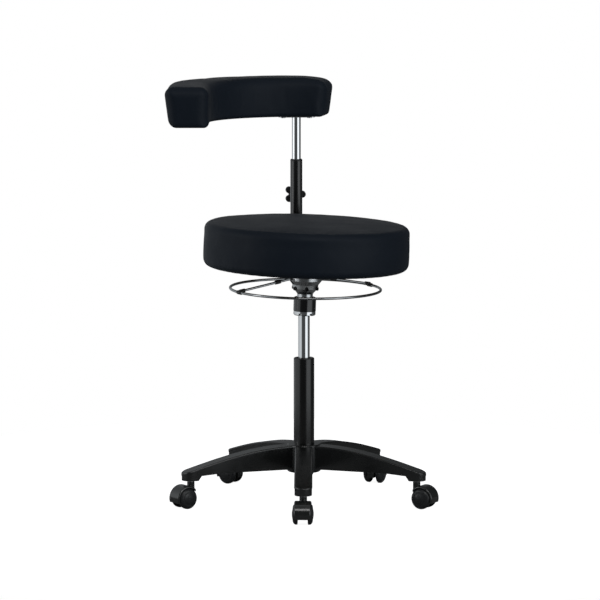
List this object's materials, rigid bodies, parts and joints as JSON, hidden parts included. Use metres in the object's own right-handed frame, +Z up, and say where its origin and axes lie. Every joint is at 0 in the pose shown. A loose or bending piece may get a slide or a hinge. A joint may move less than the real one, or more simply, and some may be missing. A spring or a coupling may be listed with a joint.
{
  "type": "dentist stool",
  "caption": "Height-adjustable clinic stool: round padded seat, curved padded torso support on a rear post, release ring, star base on twin-wheel swivel casters.",
  "frame": {"origin": "on the seat's swivel axis at the floor", "axes": "+Z up, the base's front arm points to -Y, the rear post stands near +Y"},
  "size_m": [0.6573, 0.675, 1.018],
  "materials": {
    "nylon_base": "satin",
    "black_plastic": "satin",
    "caster_plastic": "gloss",
    "wheel_nylon": "satin",
    "sleeve_gloss": "gloss",
    "black_paint": "satin",
    "black_oxide": "satin",
    "steel_plain": "satin",
    "chrome_plate": "polished",
    "dark_chrome": "polished",
    "cast_zinc": "satin",
    "zinc_plate": "satin",
    "brass_tip": "satin",
    "buffer_rubber": "matte",
    "black_vinyl": "satin",
    "foam": "matte",
    "plywood": "matte"
  },
  "bodies": {
    "base": {"star_base": "nylon_base", "hub_ring": "steel_plain", "column_tube": "black_paint", "column_guide": "black_plastic"},
    "lift_rod": {"piston_rod": "steel_plain", "retaining_clip": "steel_plain", "thrust_bearing": "steel_plain", "rubber_buffer": "buffer_rubber", "piston_head": "black_plastic"},
    "seat": {"gas_tube": "chrome_plate", "gas_gland": "black_plastic", "taper_sleeve": "sleeve_gloss", "notched_collar": "chrome_plate", "seat_hub": "cast_zinc", "hub_screws": "black_oxide", "seat_plate": "black_paint", "plate_screws": "black_oxide", "back_bar": "black_paint", "back_bar_screws": "black_oxide", "seat_cover": "black_vinyl", "seat_board": "plywood", "seat_foam": "foam", "rear_post": "black_paint", "post_bush": "black_plastic", "clamp_boss": "black_paint"},
    "valve": {"valve_pin": "steel_plain"},
    "ring": {"release_ring": "dark_chrome", "ring_yoke": "dark_chrome", "ring_clips": "black_plastic"},
    "knob": {"clamp_screw": "steel_plain", "clamp_tip": "brass_tip", "clamp_knob": "black_plastic"},
    "torso_slider": {"rod_foot": "black_plastic"},
    "torso_arm": {"torso_rod": "chrome_plate", "rod_flange": "zinc_plate", "flange_screws": "zinc_plate", "arm_core": "plywood", "pad_foam": "foam", "pad_cover": "black_vinyl"},
    "caster_front": {"caster_front_hood": "caster_plastic", "caster_front_stem_and_axle": "steel_plain"},
    "caster_front_left_wheel": {"caster_front_left_wheel": "wheel_nylon"},
    "caster_front_right_wheel": {"caster_front_right_wheel": "wheel_nylon"},
    "caster_left": {"caster_left_hood": "caster_plastic", "caster_left_stem_and_axle": "steel_plain"},
    "caster_left_left_wheel": {"caster_left_left_wheel": "wheel_nylon"},
    "caster_left_right_wheel": {"caster_left_right_wheel": "wheel_nylon"},
    "caster_right": {"caster_right_hood": "caster_plastic", "caster_right_stem_and_axle": "steel_plain"},
    "caster_right_left_wheel": {"caster_right_left_wheel": "wheel_nylon"},
    "caster_right_right_wheel": {"caster_right_right_wheel": "wheel_nylon"},
    "caster_rear_left": {"caster_rear_left_hood": "caster_plastic", "caster_rear_left_stem_and_axle": "steel_plain"},
    "caster_rear_left_left_wheel": {"caster_rear_left_left_wheel": "wheel_nylon"},
    "caster_rear_left_right_wheel": {"caster_rear_left_right_wheel": "wheel_nylon"},
    "caster_rear_right": {"caster_rear_right_hood": "caster_plastic", "caster_rear_right_stem_and_axle": "steel_plain"},
    "caster_rear_right_left_wheel": {"caster_rear_right_left_wheel": "wheel_nylon"},
    "caster_rear_right_right_wheel": {"caster_rear_right_right_wheel": "wheel_nylon"}
  },
  "joints": [
    {"name": "seat_swivel", "type": "hinge", "parent": "base", "child": "lift_rod", "pos_m": [0, 0, 0.08], "axis": [0, 0, 1], "continuous": true},
    {"name": "seat_lift", "type": "slide", "parent": "lift_rod", "child": "seat", "axis": [0, 0, 1], "range_m": [-0.095, 0.1]},
    {"name": "ring_tilt", "type": "hinge", "parent": "seat", "child": "ring", "pos_m": [0.03464, 0.02, 0.5485], "axis": [0.5, -0.866, 0], "range_deg": [0, 5], "stiffness_Nm_per_rad": 20, "springref_deg": -1.72},
    {"name": "valve_press", "type": "slide", "parent": "seat", "child": "valve", "axis": [0, 0, -1], "range_m": [0, 0.0039]},
    {"name": "clamp_turn", "type": "hinge", "parent": "seat", "child": "knob", "pos_m": [-0.01877, 0.27536, 0.719], "axis": [-0.068, 0.9977, 0], "range_deg": [0, 720]},
    {"name": "torso_height", "type": "slide", "parent": "seat", "child": "torso_slider", "axis": [0, 0, 1], "range_m": [-0.09, 0.06]},
    {"name": "torso_swing", "type": "hinge", "parent": "torso_slider", "child": "torso_arm", "pos_m": [-0.01877, 0.27536, 0.7], "axis": [0, 0, 1], "continuous": true},
    {"name": "caster_front_swivel", "type": "hinge", "parent": "base", "child": "caster_front", "pos_m": [-0.002, -0.28599, 0.063], "axis": [0, 0, 1], "continuous": true},
    {"name": "caster_front_left_wheel_roll", "type": "hinge", "parent": "caster_front", "child": "caster_front_left_wheel", "pos_m": [-0.00304, -0.30597, 0.025], "axis": [0.9986, -0.0523, 0], "continuous": true},
    {"name": "caster_front_right_wheel_roll", "type": "hinge", "parent": "caster_front", "child": "caster_front_right_wheel", "pos_m": [-0.00304, -0.30597, 0.025], "axis": [0.9986, -0.0523, 0], "continuous": true},
    {"name": "caster_left_swivel", "type": "hinge", "parent": "base", "child": "caster_left", "pos_m": [-0.27261, -0.08648, 0.063], "axis": [0, 0, 1], "continuous": true},
    {"name": "caster_left_left_wheel_roll", "type": "hinge", "parent": "caster_left", "child": "caster_left_left_wheel", "pos_m": [-0.28858, -0.09851, 0.025], "axis": [0.6018, -0.7986, 0], "continuous": true},
    {"name": "caster_left_right_wheel_roll", "type": "hinge", "parent": "caster_left", "child": "caster_left_right_wheel", "pos_m": [-0.28858, -0.09851, 0.025], "axis": [0.6018, -0.7986, 0], "continuous": true},
    {"name": "caster_right_swivel", "type": "hinge", "parent": "base", "child": "caster_right", "pos_m": [0.27138, -0.09028, 0.063], "axis": [0, 0, 1], "continuous": true},
    {"name": "caster_right_left_wheel_roll", "type": "hinge", "parent": "caster_right", "child": "caster_right_left_wheel", "pos_m": [0.2887, -0.10028, 0.025], "axis": [0.5, 0.866, 0], "continuous": true},
    {"name": "caster_right_right_wheel_roll", "type": "hinge", "parent": "caster_right", "child": "caster_right_right_wheel", "pos_m": [0.2887, -0.10028, 0.025], "axis": [0.5, 0.866, 0], "continuous": true},
    {"name": "caster_rear_left_swivel", "type": "hinge", "parent": "base", "child": "caster_rear_left", "pos_m": [-0.16649, 0.23255, 0.063], "axis": [0, 0, 1], "continuous": true},
    {"name": "caster_rear_left_left_wheel_roll", "type": "hinge", "parent": "caster_rear_left", "child": "caster_rear_left_left_wheel", "pos_m": [-0.18326, 0.24344, 0.025], "axis": [-0.5446, -0.8387, 0], "continuous": true},
    {"name": "caster_rear_left_right_wheel_roll", "type": "hinge", "parent": "caster_rear_left", "child": "caster_rear_left_right_wheel", "pos_m": [-0.18326, 0.24344, 0.025], "axis": [-0.5446, -0.8387, 0], "continuous": true},
    {"name": "caster_rear_right_swivel", "type": "hinge", "parent": "base", "child": "caster_rear_right", "pos_m": [0.16972, 0.2302, 0.063], "axis": [0, 0, 1], "continuous": true},
    {"name": "caster_rear_right_left_wheel_roll", "type": "hinge", "parent": "caster_rear_right", "child": "caster_rear_right_left_wheel", "pos_m": [0.17849, 0.24818, 0.025], "axis": [-0.8988, 0.4384, 0], "continuous": true},
    {"name": "caster_rear_right_right_wheel_roll", "type": "hinge", "parent": "caster_rear_right", "child": "caster_rear_right_right_wheel", "pos_m": [0.17849, 0.24818, 0.025], "axis": [-0.8988, 0.4384, 0], "continuous": true}
  ],
  "couplings": [
    {"joint": "valve_press", "follows": "ring_tilt", "m_per_rad": 0.0445}
  ]
}
